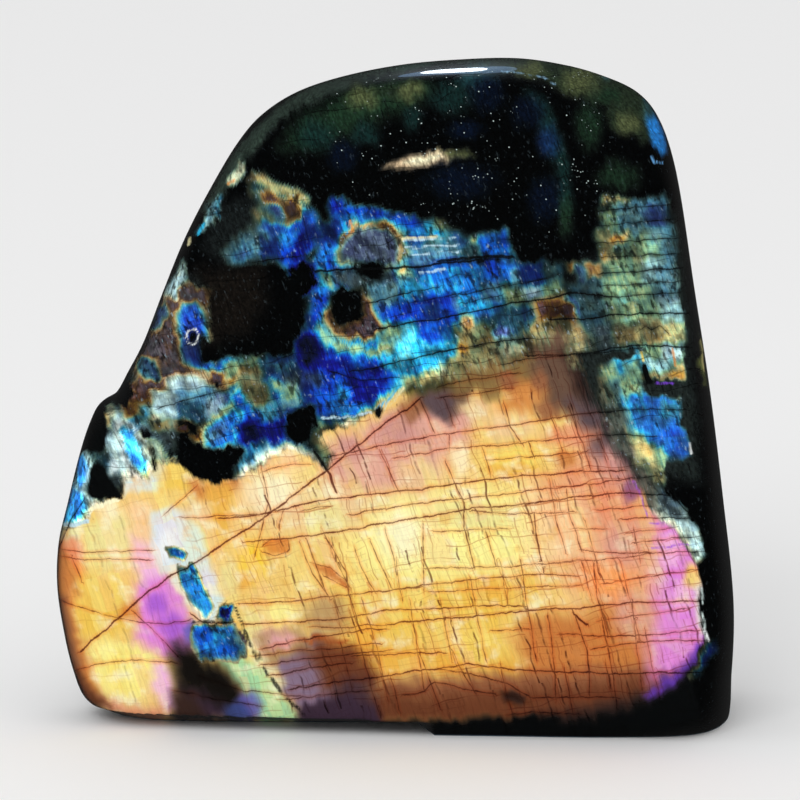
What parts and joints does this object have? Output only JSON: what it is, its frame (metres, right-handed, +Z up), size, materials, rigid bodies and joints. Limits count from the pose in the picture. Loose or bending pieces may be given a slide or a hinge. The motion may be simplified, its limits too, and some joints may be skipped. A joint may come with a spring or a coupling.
{
  "type": "labradorite freeform",
  "caption": "Polished labradorite freeform: a thick rounded wedge of dark feldspar with a colour-flashing show face, sawn flat underneath to stand.",
  "frame": {"origin": "middle of the bounding box at the sawn base, on the surface that the stone stands on", "axes": "+Z up from the base, -Y out of the polished show face, +X towards the right as seen from the show face"},
  "size_m": [0.1202, 0.0486, 0.1183],
  "materials": {
    "labradorite": "polished"
  },
  "bodies": {
    "root": {"labradorite_stone": "labradorite"}
  },
  "joints": []
}
